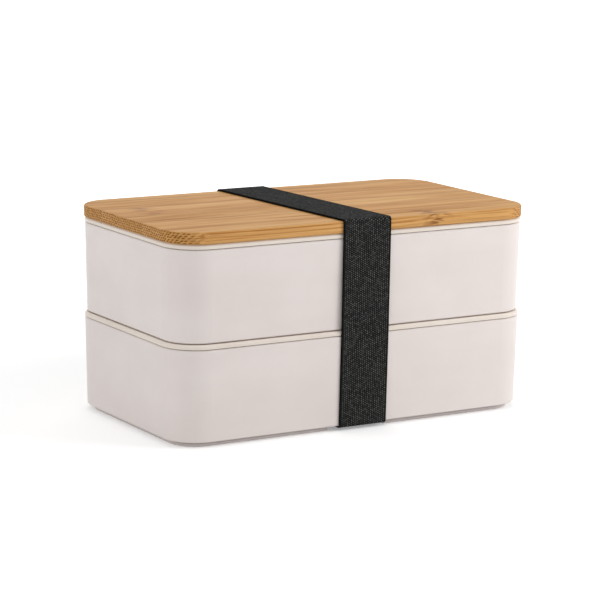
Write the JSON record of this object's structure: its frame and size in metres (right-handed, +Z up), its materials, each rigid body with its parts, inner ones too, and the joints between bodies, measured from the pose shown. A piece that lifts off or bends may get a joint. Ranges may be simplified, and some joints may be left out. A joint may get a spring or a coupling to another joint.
{
  "type": "bento lunch box",
  "caption": "Stacked lunch box: two plastic tiers, each closed by a sealed plug lid, under a bamboo board, held together by a wide elastic band.",
  "frame": {"origin": "on the table, under the middle of the lower box", "axes": "+Z up, +X along the length of the box, +Y across it towards the back"},
  "size_m": [0.187, 0.1083, 0.0966],
  "materials": {
    "box_plastic": "satin warm grey-white",
    "lid_plastic": "satin cream",
    "silicone": "matt translucent white",
    "bamboo": "oiled satin",
    "elastic": "matt woven charcoal"
  },
  "bodies": {
    "lower_tier": {"lower_box": "box_plastic"},
    "lower_lid": {"lower_seal_lid": "lid_plastic", "lower_gasket": "silicone"},
    "upper_tier": {"upper_box": "box_plastic"},
    "divider": {"upper_divider": "box_plastic"},
    "upper_lid": {"upper_seal_lid": "lid_plastic", "upper_gasket": "silicone"},
    "board": {"bamboo_lid": "bamboo"},
    "band": {"elastic_band": "elastic"}
  },
  "joints": [
    {"name": "lower_lid_lift", "type": "slide", "parent": "lower_tier", "child": "lower_lid", "axis": [0, 0, 1], "range_m": [0, 0.075]},
    {"name": "upper_tier_lift", "type": "slide", "parent": "lower_lid", "child": "upper_tier", "axis": [0, 0, 1], "range_m": [0, 0.075]},
    {"name": "divider_slide", "type": "slide", "parent": "upper_tier", "child": "divider", "axis": [1, 0, 0], "range_m": [-0.094, 0.046]},
    {"name": "upper_lid_lift", "type": "slide", "parent": "upper_tier", "child": "upper_lid", "axis": [0, 0, 1], "range_m": [0, 0.075]},
    {"name": "board_lift", "type": "slide", "parent": "upper_lid", "child": "board", "axis": [0, 0, 1], "range_m": [0, 0.075]},
    {"name": "band_slide", "type": "slide", "parent": "lower_tier", "child": "band", "axis": [1, 0, 0], "range_m": [-0.115, 0.115], "deforming": ["elastic_band"]}
  ]
}
